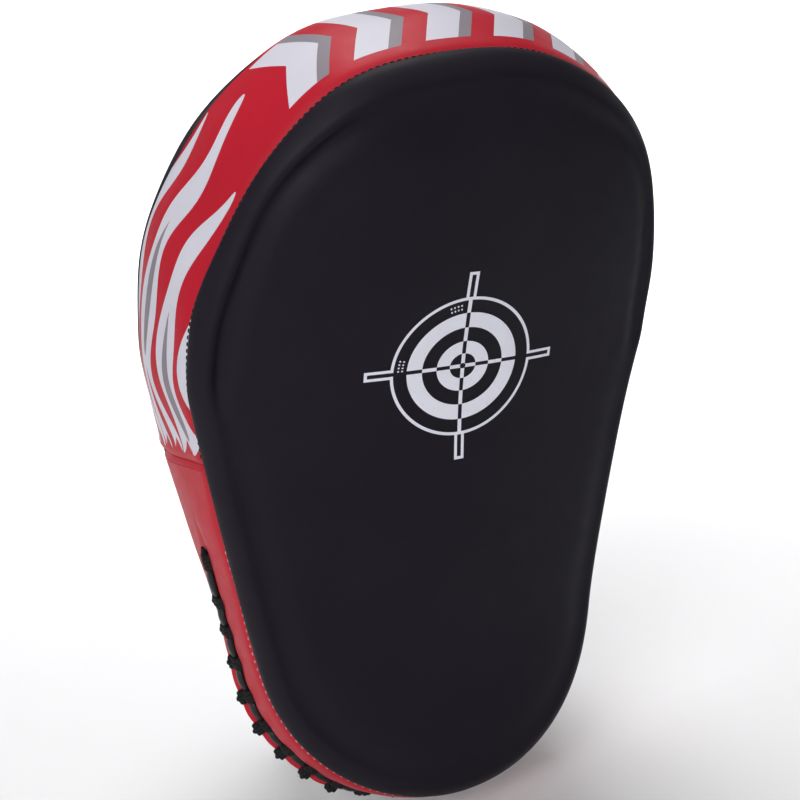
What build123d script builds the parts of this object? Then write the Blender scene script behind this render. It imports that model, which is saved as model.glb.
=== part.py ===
"""Curved focus mitt for the right hand: a leather-covered foam pad with a hand compartment on its back.

Frame: X to the right seen from the striking side, Y towards the back, Z from the wrist to the fingers.
The origin is the middle of the palm, on the back of the pad. Millimetres.
"""
from build123d import *
from math import cos, radians, sin
import os

# Side view of the seam between the striking face and the side wall, as (y, z) and tilts from vertical.
WRIST_END = (-63.0, -104.0)
FINGER_RUN, WRIST_RUN, PALM_RUN = 75.0, 27.0, 62.0
WRIST_TILT, PALM_TILT, FINGER_TILT = -21.3, 3.5, 22.8
WRIST_BEND_RADIUS, FINGER_BEND_RADIUS = 111.0, 172.0
RUN_OUT = 45.0                      # how far the side view runs past each end of the pad

# Front view of the pad, flattened out.
HEEL_RADIUS, CROWN_RADIUS = 69.0, 89.0
SIDE_TAPER = 12.4                   # degrees that each side leans out from the heel
SIDE_LENGTH = 260.0

# The striking face stands in front of the seam and is crowned across the pad.
FACE_HEIGHT, FACE_CROWN_RADIUS = 16.0, 480.0
RIM_RADIUS = 7.0

# The back is one long arc.
BACK_RADIUS, BACK_CENTRE_Z = 238.0, 16.0
BACK_EDGE_RADIUS = 6.0
BACK_PANEL_EDGE = 8.0               # how far the back panel turns over the edge

LEATHER = 1.6
FACE_FOAM_BACK, REAR_FOAM = 3.0, 14.0
PRINT_SEAM_Z = 31.0                 # cross seam between the printed and the plain side wall

# Lace that closes the heel of the side wall.
LACE_ARC_RADIUS, LACE_ARC_Y, LACE_ARC_Z = 163.0, -187.0, -32.0   # the lace follows this arc in the side view
LACE_RADIUS, LACE_STAND_OFF = 2.0, 0.6
LACE_SIDE_STATIONS = (90.0, 68.0)            # distances from the wrist end
LACE_HEEL_ANGLES = (66.0, 47.0, 28.0, 9.0)   # degrees round the heel from its lowest point
LACE_TOP_Z = -12.0
KNOT_PITCH, KNOT_RADIUS, KNOT_LENGTH = 14.0, 2.9, 3.4
END_KNOT_RADIUS, END_KNOT_LENGTH = 4.0, 8.0

# Padded hood over the fingers: a vault from the palm upwards, closed by a dome.
HOOD_LEFT, HOOD_RIGHT, HOOD_MOUTH_Z = -62.0, 43.0, 30.0
HOOD_HEIGHT, HOOD_CORNER = 36.0, 22.0
HOOD_DOME_RADIUS, HOOD_DOME_Y, HOOD_DOME_Z = 95.0, -59.0, 35.0
HOOD_TIP_Z = 119.0
HOOD_PADDING, LINING = 5.0, 1.0

# Thumb sleeve beside the hood.
THUMB_X, THUMB_HALF_WIDTH, THUMB_MOUTH_Z = 60.0, 14.0, -4.0
THUMB_HEIGHT, THUMB_CORNER = 26.0, 13.0
THUMB_DOME_RADIUS, THUMB_DOME_Y, THUMB_DOME_Z = 60.0, -34.0, -2.0
THUMB_TIP_Z = 47.0

BINDING, BINDING_WIDTH = 1.2, 8.0

# Palm patch and the ball that the palm closes on.
PALM_HALF_WIDTH, PALM_LOW_Z, PALM_HIGH_Z, PALM_PATCH = 32.0, -88.0, 56.0, 1.2
BALL_RADIUS, BALL_HEIGHT, BALL_Z, BALL_X = 27.0, 17.0, 0.0, -6.0

# Wrist cuff: two padded wings that arch over the wrist and leave a gap on top.
CUFF_HALF_WIDTH, CUFF_TOP_Y, CUFF_CORNER = 42.0, 30.0, 28.0
CUFF_LOW_Z, CUFF_HIGH_Z, CUFF_GAP = -82.0, -38.0, 18.0
CUFF_PADDING = 5.0

# Hook-and-loop strap over the cuff, from its anchor on the left wing to the patch on the right wing.
STRAP_LOW_Z, STRAP_HIGH_Z = -75.0, -45.0
LOOP_PATCH, PATCH_GAP, HOOK_PATCH, STRAP = 1.2, 0.4, 1.2, 1.8
ANCHOR_LOW_Y, STRAP_ROOT_Y, ROOT_GAP = -4.0, 6.0, 0.6
STRAP_SEAM_X, SEAM_GAP = -6.0, 0.4
PATCH_EDGE = 2.0                    # margin of each patch inside the strap's outline
STRAP_END_Y, TAB_LENGTH = 2.0, 6.0

FAR = 400.0


def heading(tilt):
    return Vector(-sin(radians(tilt)), cos(radians(tilt)))


def side_curve():
    """Seam level in the side view, running past both ends, in the YZ plane."""
    wrist_start = Vector(*WRIST_END) - heading(WRIST_TILT) * RUN_OUT
    wrist = Line(wrist_start, wrist_start + heading(WRIST_TILT) * (RUN_OUT + WRIST_RUN))
    wrist_bend = JernArc(wrist @ 1, wrist % 1, WRIST_BEND_RADIUS, PALM_TILT - WRIST_TILT)
    palm = Line(wrist_bend @ 1, wrist_bend @ 1 + (wrist_bend % 1) * PALM_RUN)
    finger_bend = JernArc(palm @ 1, palm % 1, FINGER_BEND_RADIUS, FINGER_TILT - PALM_TILT)
    finger = Line(finger_bend @ 1, finger_bend @ 1 + (finger_bend % 1) * (FINGER_RUN + RUN_OUT))
    return Plane.YZ * Wire([wrist, wrist_bend, palm, finger_bend, finger])


SIDE_CURVE = side_curve()


def station(distance):
    """Plane at a distance from the wrist end, measured along the seam; its Y axis points to the back."""
    fraction = (distance + RUN_OUT) / SIDE_CURVE.length
    return Plane(origin=SIDE_CURVE @ fraction, x_dir=(1, 0, 0), z_dir=SIDE_CURVE % fraction)


PAD_LENGTH = SIDE_CURVE.length - 2 * RUN_OUT


def outline_plane(distance):
    """Plane flat on the seam level, with its Y axis towards the fingers."""
    place = station(distance)
    return Plane(origin=place.origin, x_dir=(1, 0, 0), z_dir=-place.y_dir)


def side_width(distance):
    """Half the width of the pad where its sides lean out from the heel."""
    taper = radians(SIDE_TAPER)
    return HEEL_RADIUS / cos(taper) + (distance - HEEL_RADIUS) * sin(taper) / cos(taper)


def heel_prism(inset):
    """Round heel and leaning sides, cut square to the wrist end."""
    radius = HEEL_RADIUS - inset
    taper = radians(SIDE_TAPER)
    touch_x, touch_y = radius * cos(taper), HEEL_RADIUS - radius * sin(taper)
    top_x, top_y = touch_x + SIDE_LENGTH * sin(taper), touch_y + SIDE_LENGTH * cos(taper)
    sides = Polyline((-touch_x, touch_y), (-top_x, top_y), (top_x, top_y), (touch_x, touch_y), close=True)
    shape = Pos(0, HEEL_RADIUS) * Circle(radius) + make_face(sides)
    return extrude(outline_plane(0) * shape, FAR / 2, both=True)


def crown_prism(inset):
    """Round finger end and straight sides, cut square to the finger end."""
    radius = CROWN_RADIUS - inset
    sides = Pos(0, -CROWN_RADIUS - FAR / 2) * Rectangle(2 * radius, FAR)
    shape = Pos(0, -CROWN_RADIUS) * Circle(radius) + sides
    return extrude(outline_plane(PAD_LENGTH) * shape, FAR / 2, both=True)


def behind(height):
    """Everything behind a surface that follows the seam, its middle that height in front of it."""
    half_width, depth = 1.5 * CROWN_RADIUS, 95.0
    edge = (FACE_CROWN_RADIUS**2 - half_width**2) ** 0.5 - FACE_CROWN_RADIUS + height
    front = ThreePointArc((-half_width, -edge), (0, -height), (half_width, -edge))
    rest = Polyline((half_width, -edge), (half_width, depth), (-half_width, depth), (-half_width, -edge))
    return sweep(station(-RUN_OUT) * make_face([front, rest]), SIDE_CURVE)


def across(y, z, radius):
    """Cylinder along X."""
    return extrude(Plane.YZ * Pos(y, z) * Circle(radius), FAR / 2, both=True)


def before_back(inset):
    return across(-BACK_RADIUS, BACK_CENTRE_Z, BACK_RADIUS - inset)


def block(x, y, z):
    """Box between pairs of limits."""
    size = [high - low for low, high in (x, y, z)]
    middle = [(low + high) / 2 for low, high in (x, y, z)]
    return Pos(*middle) * Box(*size)


def pad(inset):
    """The padded body with its edges rounded, shrunk by the inset."""
    sides = heel_prism(inset) & crown_prism(inset)
    sharp = sides & behind(FACE_HEIGHT - inset) & before_back(inset)
    core = heel_prism(inset + 1.0) & crown_prism(inset + 1.0)
    rim = [edge for edge in sharp.edges() if not (SEAM_BACK + core).is_inside(edge @ 0.5)]
    rounded = fillet(rim, RIM_RADIUS - inset)
    back_edge = [edge for edge in rounded.edges() if not (BACK_FRONT + core).is_inside(edge @ 0.5)]
    return fillet(back_edge, BACK_EDGE_RADIUS - inset)


SEAM_BACK = behind(0.0)
BACK_FRONT = before_back(LEATHER + 1.0)


def vault(left, right, top_y, corner, low_z, high_z):
    """Rounded-top prism standing on the back of the pad, along Z."""
    width, height = right - left, FAR / 2
    shape = Pos((left + right) / 2, top_y - height / 2) * RectangleRounded(width, height, corner)
    return Pos(0, 0, low_z) * extrude(shape, high_z - low_z)


def off_back(solid, gap=0.0):
    """Cut away what lies inside the pad."""
    return solid - across(-BACK_RADIUS, BACK_CENTRE_Z, BACK_RADIUS + gap)


def pocket(left, right, top_y, corner, mouth_z, tip_z, dome):
    """Solid filling of a pocket that opens downwards: an arch with a round tip under a dome across it."""
    tip_radius = (right - left) / 2
    plan = Pos((left + right) / 2, tip_z - tip_radius) * Circle(tip_radius)
    plan += Pos((left + right) / 2, tip_z - tip_radius - FAR / 2) * Rectangle(right - left, FAR)
    outline = extrude(Plane.XZ * plan, FAR, both=True)
    return vault(left, right, top_y, corner, mouth_z, FAR / 2) & outline & across(*dome)


def hood(inset):
    return pocket(
        HOOD_LEFT + inset,
        HOOD_RIGHT - inset,
        HOOD_HEIGHT - inset,
        HOOD_CORNER - inset,
        HOOD_MOUTH_Z,
        HOOD_TIP_Z - inset,
        (HOOD_DOME_Y, HOOD_DOME_Z, HOOD_DOME_RADIUS - inset),
    )


def thumb(inset):
    return pocket(
        THUMB_X - THUMB_HALF_WIDTH + inset,
        THUMB_X + THUMB_HALF_WIDTH - inset,
        THUMB_HEIGHT - inset,
        THUMB_CORNER - inset,
        THUMB_MOUTH_Z,
        THUMB_TIP_Z - inset,
        (THUMB_DOME_Y, THUMB_DOME_Z, THUMB_DOME_RADIUS - inset),
    )


def binding(filling, mouth_z):
    """Folded edge strip around the mouth of a pocket."""
    strip = block((-FAR, FAR), (-FAR, FAR), (mouth_z, mouth_z + BINDING_WIDTH))
    return off_back((filling(-BINDING) - filling(0.0)) & strip, PALM_PATCH)


def cuff(inset):
    """Solid arch over the wrist."""
    return vault(
        inset - CUFF_HALF_WIDTH,
        CUFF_HALF_WIDTH - inset,
        CUFF_TOP_Y - inset,
        CUFF_CORNER - inset,
        CUFF_LOW_Z,
        CUFF_HIGH_Z,
    )


def strap_layer(start, thickness, low_z=STRAP_LOW_Z, high_z=STRAP_HIGH_Z):
    """Arch-shaped layer over the cuff, starting at a distance outside its cover."""
    ring = cuff(-start - thickness) - cuff(-start)
    return ring & block((-FAR, FAR), (-FAR, FAR), (low_z, high_z))


def lace_point(x, distance):
    """Point on the lace line."""
    place = station(distance)
    from_centre = place.origin - Vector(0, LACE_ARC_Y, LACE_ARC_Z)
    along = from_centre.dot(place.y_dir)
    reach = LACE_ARC_RADIUS**2 - from_centre.dot(from_centre)
    return place.origin + place.x_dir * x + place.y_dir * ((along**2 + reach) ** 0.5 - along)


def lace_path():
    """Down one side of the heel, round it and up the other side, just outside the wall."""
    offset = LACE_RADIUS + LACE_STAND_OFF
    radius = HEEL_RADIUS + offset
    half = [(side_width(distance) + offset, distance) for distance in LACE_SIDE_STATIONS]
    half += [(radius * sin(radians(a)), HEEL_RADIUS - radius * cos(radians(a))) for a in LACE_HEEL_ANGLES]
    points = [lace_point(-x, distance) for x, distance in half]
    points += [lace_point(x, distance) for x, distance in reversed(half)]
    radii = []
    for before, corner, after in zip(points, points[1:], points[2:]):
        shorter = min((corner - before).length, (after - corner).length)
        half_turn = radians((corner - before).get_angle(after - corner)) / 2
        radii.append(0.45 * shorter * cos(half_turn) / sin(half_turn))
    print("lace bend radii", [round(radius, 1) for radius in radii])
    return FilletPolyline(*points, radius=radii)


def lace_rings(path, radius, length, fractions):
    """Short thick turns around the lace."""
    rings = []
    for fraction in fractions:
        place = Plane(origin=path @ fraction, z_dir=path % fraction)
        rings.append(extrude(place * Circle(radius), length / 2, both=True))
    return rings


parts = {}

# Pad: leather skin and three layers of foam.
outside = pad(0.0)
inside = pad(LEATHER)
skin = outside - inside
before_panel = before_back(BACK_PANEL_EDGE)
parts["strike_face"] = skin - SEAM_BACK
parts["back_panel"] = skin - before_panel
wall = skin & SEAM_BACK & before_panel
upper = block((-FAR, FAR), (-FAR, FAR), (PRINT_SEAM_Z, FAR))
parts["side_wall_printed"] = wall & upper
plain_wall = wall - upper
heel_zone = block((-FAR, FAR), (-FAR, FAR), (-FAR, LACE_TOP_Z))
heel_zone -= across(LACE_ARC_Y, LACE_ARC_Z, LACE_ARC_RADIUS)
parts["side_gusset"] = plain_wall - heel_zone
rear_strip = plain_wall & heel_zone
parts["rear_strip_left"] = rear_strip & block((-FAR, 0), (-FAR, FAR), (-FAR, FAR))
parts["rear_strip_right"] = rear_strip & block((0, FAR), (-FAR, FAR), (-FAR, FAR))
face_back = behind(-FACE_FOAM_BACK)
rear_front = before_back(REAR_FOAM)
parts["face_foam"] = inside - face_back
parts["core_foam"] = inside & face_back & rear_front
parts["rear_foam"] = (inside & face_back) - rear_front

# Lace.
route = lace_path()
cord = sweep(Plane(origin=route @ 0, z_dir=route % 0) * Circle(LACE_RADIUS), route) - outside
parts["lace_cord"] = cord
knot_count = int(route.length / KNOT_PITCH)
knot_places = [(number + 0.5) / knot_count for number in range(knot_count)]
knots = lace_rings(route, KNOT_RADIUS, KNOT_LENGTH, knot_places)
parts["lace_knots"] = Compound([knot - cord - outside for knot in knots])
end_knots = lace_rings(route, END_KNOT_RADIUS, END_KNOT_LENGTH, (0.0, 1.0))
parts["lace_end_knots"] = Compound([knot - cord - outside for knot in end_knots])

# Finger hood and thumb sleeve.
padding_start, lining_start = LEATHER, LEATHER + HOOD_PADDING
parts["finger_hood"] = off_back(hood(0.0) - hood(padding_start), PALM_PATCH)
parts["hood_padding"] = off_back(hood(padding_start) - hood(lining_start), PALM_PATCH)
parts["hood_lining"] = off_back(hood(lining_start) - hood(lining_start + LINING), PALM_PATCH)
parts["hood_binding"] = binding(hood, HOOD_MOUTH_Z)
parts["thumb_sleeve"] = off_back(thumb(0.0) - thumb(LEATHER), PALM_PATCH)
parts["thumb_lining"] = off_back(thumb(LEATHER) - thumb(LEATHER + LINING), PALM_PATCH)
parts["thumb_binding"] = binding(thumb, THUMB_MOUTH_Z)

# Palm patch and ball.
palm_area = block((-PALM_HALF_WIDTH, PALM_HALF_WIDTH), (-FAR, FAR), (PALM_LOW_Z, PALM_HIGH_Z))
palm_layer = across(-BACK_RADIUS, BACK_CENTRE_Z, BACK_RADIUS + PALM_PATCH) - before_back(0.0)
parts["palm_patch"] = palm_area & palm_layer
ball_centre = Pos(BALL_X, BALL_HEIGHT - BALL_RADIUS, BALL_Z)
parts["grip_ball_cover"] = off_back(ball_centre * (Sphere(BALL_RADIUS) - Sphere(BALL_RADIUS - LEATHER)), PALM_PATCH)
parts["grip_ball_core"] = off_back(ball_centre * Sphere(BALL_RADIUS - LEATHER), PALM_PATCH)

# Wrist cuff.
foam_start, cuff_lining_start = LEATHER, LEATHER + CUFF_PADDING
cuff_layers = {
    "cover": cuff(0.0) - cuff(foam_start),
    "foam": cuff(foam_start) - cuff(cuff_lining_start),
    "lining": cuff(cuff_lining_start) - cuff(cuff_lining_start + LINING),
}
wings = {
    "left": block((-FAR, -CUFF_GAP / 2), (-FAR, FAR), (-FAR, FAR)),
    "right": block((CUFF_GAP / 2, FAR), (-FAR, FAR), (-FAR, FAR)),
}
for side, zone in wings.items():
    for layer, solid in cuff_layers.items():
        parts[f"cuff_{side}_{layer}"] = off_back(solid & zone, PALM_PATCH)

# Strap.
hook_start = LOOP_PATCH + PATCH_GAP
strap_start = hook_start + HOOK_PATCH
patch_zone = block((CUFF_HALF_WIDTH - CUFF_CORNER, FAR), (STRAP_END_Y, FAR), (-FAR, FAR))
patch_z = (STRAP_LOW_Z + PATCH_EDGE, STRAP_HIGH_Z - PATCH_EDGE)
parts["loop_patch"] = strap_layer(0.0, LOOP_PATCH, *patch_z) & patch_zone
parts["hook_patch"] = strap_layer(hook_start, HOOK_PATCH, *patch_z) & patch_zone
anchor_zone = block((-FAR, 0), (ANCHOR_LOW_Y, STRAP_ROOT_Y), (-FAR, FAR))
parts["strap_anchor"] = strap_layer(0.0, strap_start + STRAP) & anchor_zone
strap = strap_layer(strap_start, STRAP)
elastic_zone = block((-FAR, STRAP_SEAM_X), (STRAP_ROOT_Y + ROOT_GAP, FAR), (-FAR, FAR))
parts["strap_elastic"] = strap & elastic_zone
leather_zone = block((STRAP_SEAM_X + SEAM_GAP, FAR), (STRAP_END_Y, FAR), (-FAR, FAR))
parts["strap_leather"] = strap & leather_zone
tab_zone = block((0, FAR), (STRAP_END_Y - TAB_LENGTH, STRAP_END_Y), (-FAR, FAR))
parts["strap_tab"] = strap & tab_zone

os.makedirs("parts", exist_ok=True)
for name, solid in parts.items():
    export_step(solid, f"parts/{name}.step")
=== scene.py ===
"""Looks of the curved focus mitt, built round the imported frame. The script's own units are millimetres."""

import math

import bmesh
import bpy
import numpy as np
from mathutils import Matrix, Vector


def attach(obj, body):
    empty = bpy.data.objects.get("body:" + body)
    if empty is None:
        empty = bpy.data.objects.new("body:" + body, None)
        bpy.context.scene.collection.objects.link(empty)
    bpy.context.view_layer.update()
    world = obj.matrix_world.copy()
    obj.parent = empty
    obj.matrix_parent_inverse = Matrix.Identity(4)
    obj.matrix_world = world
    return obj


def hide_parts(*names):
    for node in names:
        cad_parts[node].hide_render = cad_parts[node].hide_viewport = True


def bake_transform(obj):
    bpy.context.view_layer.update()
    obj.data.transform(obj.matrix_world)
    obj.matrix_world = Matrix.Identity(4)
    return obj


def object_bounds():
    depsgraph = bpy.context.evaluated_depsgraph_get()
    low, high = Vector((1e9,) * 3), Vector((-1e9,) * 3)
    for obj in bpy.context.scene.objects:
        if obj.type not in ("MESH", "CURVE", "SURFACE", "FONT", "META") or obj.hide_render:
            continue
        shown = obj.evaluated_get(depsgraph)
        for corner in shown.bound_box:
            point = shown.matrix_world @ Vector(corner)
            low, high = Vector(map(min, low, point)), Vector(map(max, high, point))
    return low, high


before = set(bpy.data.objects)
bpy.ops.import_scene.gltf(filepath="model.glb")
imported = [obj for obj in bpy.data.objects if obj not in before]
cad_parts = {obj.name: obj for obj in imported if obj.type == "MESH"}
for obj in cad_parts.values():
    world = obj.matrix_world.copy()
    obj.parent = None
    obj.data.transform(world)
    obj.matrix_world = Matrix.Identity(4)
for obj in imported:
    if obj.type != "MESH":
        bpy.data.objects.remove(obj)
CAD_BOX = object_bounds()

MM = 0.001

# Pad, as it is laid out on the bench: x across, s along the seam from the wrist end.
PAD_LENGTH = 270.0
WRIST_Y, WRIST_Z = -63.0, -104.0
BASE_TILT, WRIST_BEND, FINGER_BEND = 0.8, 24.8, 19.3
WRIST_BEND_S, FINGER_BEND_S = 51.0, 166.0
WRIST_BEND_SPREAD, FINGER_BEND_SPREAD = 20.0, 24.4
HEEL_RADIUS, CROWN_RADIUS, SIDE_TAPER = 69.0, 89.0, 11.4
BACK_RADIUS, BACK_CENTRE_Z = 238.0, 16.0
SEAM_PULL = 0.0007                  # how far the seam is drawn back towards the sides

OUTLINE_POINTS = 720
RIM_DEPTH = 26.1                    # width of the band of offset rings inside the outline
FACE_CENTRE_S = 150.0
FACE_HEIGHT, FACE_FALL, FACE_FALL_WIDTH = 16.0, 8.5, 84.0
LEATHER = 1.4

BACK_ROLL = 5.0                     # the wall stops this far short of the back, under the back panel's roll

PRINT_SEAM_S, SEAM_LEAN = 136.0, 0.15    # cross seam, and its slant along the wall per mm of depth
LACE_TOP_S, FIRST_KNOT, KNOT_PITCH = 94.0, 15.5, 10.9
LACE_ARC_RADIUS, LACE_ARC_Y, LACE_ARC_Z = 163.0, -187.0, -32.0   # the lace follows this arc in the side view
# Where the hand-cut outline stands out or draws in: distance round it (left positive), width and amount.
OUTLINE_SHAPE = ((46, 20, 2.6), (106, 25, -3.2), (-108, 30, -2.8), (-190, 75, -1.7), (245, 70, 1.1))


# ---------------------------------------------------------------- bench layout to space

def side_table():
    """The pad's curve in the side view: distance along the seam, y, z and tilt."""
    s = np.linspace(-40.0, PAD_LENGTH + 40.0, 3501)
    tilt = np.radians(
        BASE_TILT
        + WRIST_BEND / 2 * np.tanh((s - WRIST_BEND_S) / WRIST_BEND_SPREAD)
        + FINGER_BEND / 2 * np.tanh((s - FINGER_BEND_S) / FINGER_BEND_SPREAD)
    )
    step = s[1] - s[0]
    y = -np.cumsum(np.sin(tilt)) * step
    z = np.cumsum(np.cos(tilt)) * step
    y += WRIST_Y - np.interp(0.0, s, y)
    z += WRIST_Z - np.interp(0.0, s, z)
    return s, y, z, tilt


SIDE = side_table()


def place(x, s, depth):
    """Points in space, in mm, for bench points at a depth behind the seam level."""
    x, s, depth = np.broadcast_arrays(*(np.asarray(v, float) for v in (x, s, depth)))
    y, z, tilt = (np.interp(s, SIDE[0], column) for column in SIDE[1:])
    depth = depth + SEAM_PULL * x**2 / 2
    return np.stack([x, y + np.cos(tilt) * depth, z + np.sin(tilt) * depth], -1)


def arc_depth(s, radius, centre_y, centre_z):
    """Depth behind the seam level, at x = 0, where an arc of the side view is met."""
    y, z, tilt = (np.interp(s, SIDE[0], column) for column in SIDE[1:])
    dy, dz = y - centre_y, z - centre_z
    along = dy * np.cos(tilt) + dz * np.sin(tilt)
    return np.sqrt(along**2 + radius**2 - dy**2 - dz**2) - along


def back_depth(s):
    """Depth of the back of the pad behind the seam level at x = 0."""
    return arc_depth(s, BACK_RADIUS, -BACK_RADIUS, BACK_CENTRE_Z)


def back_y(z):
    """How far behind the origin the back of the pad lies at a height."""
    return np.sqrt(BACK_RADIUS**2 - (np.asarray(z, float) - BACK_CENTRE_Z) ** 2) - BACK_RADIUS


def smooth_closed(values, sigma):
    """Gaussian smoothing round a closed line, sigma in samples."""
    reach = int(4 * sigma)
    kernel = np.exp(-0.5 * (np.arange(-reach, reach + 1) / sigma) ** 2)
    padded = np.concatenate([values[-reach:], values, values[:reach]])
    return np.convolve(padded, kernel / kernel.sum(), "valid")


def resample_closed(x, s, count):
    """Evenly spaced points round a closed line, and their distances round it."""
    closed_x, closed_s = np.append(x, x[0]), np.append(s, s[0])
    length = np.concatenate([[0], np.cumsum(np.hypot(np.diff(closed_x), np.diff(closed_s)))])
    at = np.linspace(0, length[-1], count, endpoint=False)
    return np.interp(at, length, closed_x), np.interp(at, length, closed_s), at


def bump_at(value, centre, width):
    """Bell of height 1 round a centre."""
    return np.exp(-(((value - centre) / width) ** 2))


def smooth_step(value, low, high):
    """Rise from 0 to 1 between two values, level at both."""
    t = np.clip((value - low) / (high - low), 0, 1)
    return t * t * (3 - 2 * t)


def rounding(distance, edge):
    """Quarter circle: 0 at a border, 1 from the edge's width inwards."""
    return np.sqrt(1 - (1 - np.clip(distance / edge, 0, 1)) ** 2)


def outward(x, s):
    """Unit direction away from a closed line, at each of its points."""
    dx, ds = np.roll(x, -1) - np.roll(x, 1), np.roll(s, -1) - np.roll(s, 1)
    size = np.hypot(dx, ds)
    return ds / size, -dx / size


def pad_outline():
    """Outline of the pad on the bench, from the finger end down the left side and back up the right."""
    taper = math.radians(SIDE_TAPER)
    touch_x, touch_s = HEEL_RADIUS * math.cos(taper), HEEL_RADIUS * (1 - math.sin(taper))
    crown_s = PAD_LENGTH - CROWN_RADIUS
    corner_s = touch_s + (CROWN_RADIUS - touch_x) / math.tan(taper)
    crown = np.radians(np.arange(0, 90, 0.5))
    heel = np.radians(np.arange(90 - SIDE_TAPER, 0, -0.5))
    x = np.concatenate([CROWN_RADIUS * np.sin(crown), [CROWN_RADIUS, touch_x], HEEL_RADIUS * np.sin(heel)])
    s = np.concatenate(
        [crown_s + CROWN_RADIUS * np.cos(crown), [corner_s, touch_s], HEEL_RADIUS * (1 - np.cos(heel))]
    )
    x, s = np.concatenate([-x, [0.0], x[:0:-1]]), np.concatenate([s, [0.0], s[:0:-1]])
    x, s, _ = resample_closed(x, s, OUTLINE_POINTS)
    x, s = smooth_closed(x, 3.0), smooth_closed(s, 3.0)
    x, s, along = resample_closed(x, s, OUTLINE_POINTS)
    nx, ns = outward(x, s)
    signed = np.where(along > along[-1] / 2, along - along[-1], along)
    out = sum(amount * bump_at(signed, at, width) for at, width, amount in OUTLINE_SHAPE)
    x, s, along = resample_closed(x + nx * out, s + ns * out, OUTLINE_POINTS)
    return x, s, along, *outward(x, s)


OUT_X, OUT_S, OUT_A, OUT_NX, OUT_NS = pad_outline()
PERIMETER = OUT_A[-1] + OUT_A[1]
OUT_A = np.where(OUT_A > PERIMETER / 2, OUT_A - PERIMETER, OUT_A)   # left side positive, right negative
LEFT_HALF = OUT_A >= 0
SEAM_A, LACE_TOP_A = (
    float(np.interp(-s, -OUT_S[LEFT_HALF], OUT_A[LEFT_HALF])) for s in (PRINT_SEAM_S, LACE_TOP_S)
)


def ripple(x, s, size, seed):
    """Gentle uneven waves, each about that size, between about -1 and 1."""
    random = np.random.default_rng(seed)
    total = np.zeros(np.broadcast(x, s).shape)
    for _ in range(7):
        angle, phase = random.uniform(0, 2 * math.pi, 2)
        length = size * random.uniform(0.7, 1.5)
        total += np.sin((x * math.cos(angle) + s * math.sin(angle)) * 2 * math.pi / length + phase)
    return total / 4


# ---------------------------------------------------------------- meshes

def add_mesh(name, points_mm, faces, material, slot_name=None, nodes=(), body="mitt", flat=None, merge=False):
    """One piece from points in mm; flat is each point's place on the leather laid flat, for the print."""
    mesh = bpy.data.meshes.new(name)
    mesh.from_pydata((np.asarray(points_mm, float).reshape(-1, 3) * MM).tolist(), [], faces)
    if flat is not None:
        layer = mesh.attributes.new("flat", "FLOAT_VECTOR", "POINT")
        layer.data.foreach_set("vector", np.asarray(flat, np.float32).ravel())
    if merge:
        shape = bmesh.new()
        shape.from_mesh(mesh)
        bmesh.ops.remove_doubles(shape, verts=shape.verts, dist=0.004 * MM)
        shape.to_mesh(mesh)
        shape.free()
    mesh.validate()
    mesh.materials.append(material)
    mesh.shade_smooth()
    thing = bpy.data.objects.new(name, mesh)
    bpy.context.scene.collection.objects.link(thing)
    if body:
        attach(thing, body)
    if nodes:
        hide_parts(*nodes)
    return thing


def grid_faces(rows, columns, closed=False, flip=False, keep=None):
    """Quads of a grid of points: closed joins its last column to its first, keep says which quads stay."""
    faces = []
    for r in range(rows - 1):
        for c in range(columns if closed else columns - 1):
            if keep is not None and not keep[r, c]:
                continue
            n = (c + 1) % columns
            quad = [r * columns + c, r * columns + n, (r + 1) * columns + n, (r + 1) * columns + c]
            faces.append(quad[::-1] if flip else quad)
    return faces


def compact(points, faces, *extra):
    """Drop the points that no face uses."""
    used = sorted({i for face in faces for i in face})
    number = {old: new for new, old in enumerate(used)}
    faces = [[number[i] for i in face] for face in faces]
    return [np.asarray(a).reshape(-1, 3)[used] for a in (points, *extra)], faces


def thicken(thing, thickness, inside=(0.0, -40.0, 30.0)):
    """Give a sheet its thickness, inwards, towards the side where the inside point is."""
    middles = np.array([f.center for f in thing.data.polygons]) - np.array(inside) * MM
    normals = np.array([f.normal for f in thing.data.polygons])
    if np.sum(middles * normals) < 0:
        thing.data.flip_normals()
    solid = thing.modifiers.new("thickness", "SOLIDIFY")
    solid.thickness = thickness * MM
    solid.offset = -1.0
    return thing


def tube(path, radius, sides, squash=None):
    """Points and faces of a capped tube; radius may vary by point, squash flattens it along a direction."""
    path = np.asarray(path, float)
    count = len(path)
    radius = np.broadcast_to(np.asarray(radius, float), (count,))
    ahead = np.vstack([path[1:], 2 * path[-1] - path[-2]])
    behind = np.vstack([2 * path[0] - path[1], path[:-1]])
    tangent = ahead - behind
    tangent /= np.linalg.norm(tangent, axis=1)[:, None]
    normal = np.cross(tangent[0], [0.3, 0.5, 0.8])
    normal /= np.linalg.norm(normal)
    angles = np.linspace(0, 2 * math.pi, sides, endpoint=False)
    points = []
    for i in range(count):
        normal = normal - tangent[i] * (normal @ tangent[i])
        normal /= np.linalg.norm(normal)
        side = np.cross(tangent[i], normal)
        ring = np.outer(np.cos(angles), normal) + np.outer(np.sin(angles), side)
        if squash is not None:
            away, amount = squash[0][i], squash[1]
            ring -= np.outer(ring @ away, away) * (1 - amount)
        points.append(path[i] + ring * radius[i])
    faces = grid_faces(count, sides, closed=True)
    faces += [list(range(sides))[::-1], [(count - 1) * sides + c for c in range(sides)]]
    return np.vstack(points), faces


def joined(pieces):
    """Several (points, faces) as one."""
    points, faces, offset = [], [], 0
    for some_points, some_faces in pieces:
        points.append(some_points)
        faces += [[i + offset for i in face] for face in some_faces]
        offset += len(some_points)
    return np.vstack(points), faces


def run_length(line):
    """Distance along a line at each of its points."""
    return np.concatenate([[0], np.cumsum(np.linalg.norm(np.diff(line, axis=0), axis=1))])


def points_at(at, along, line):
    """Points of a line at given distances along it."""
    return np.stack([np.interp(at, along, column) for column in line.T], 1)


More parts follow.
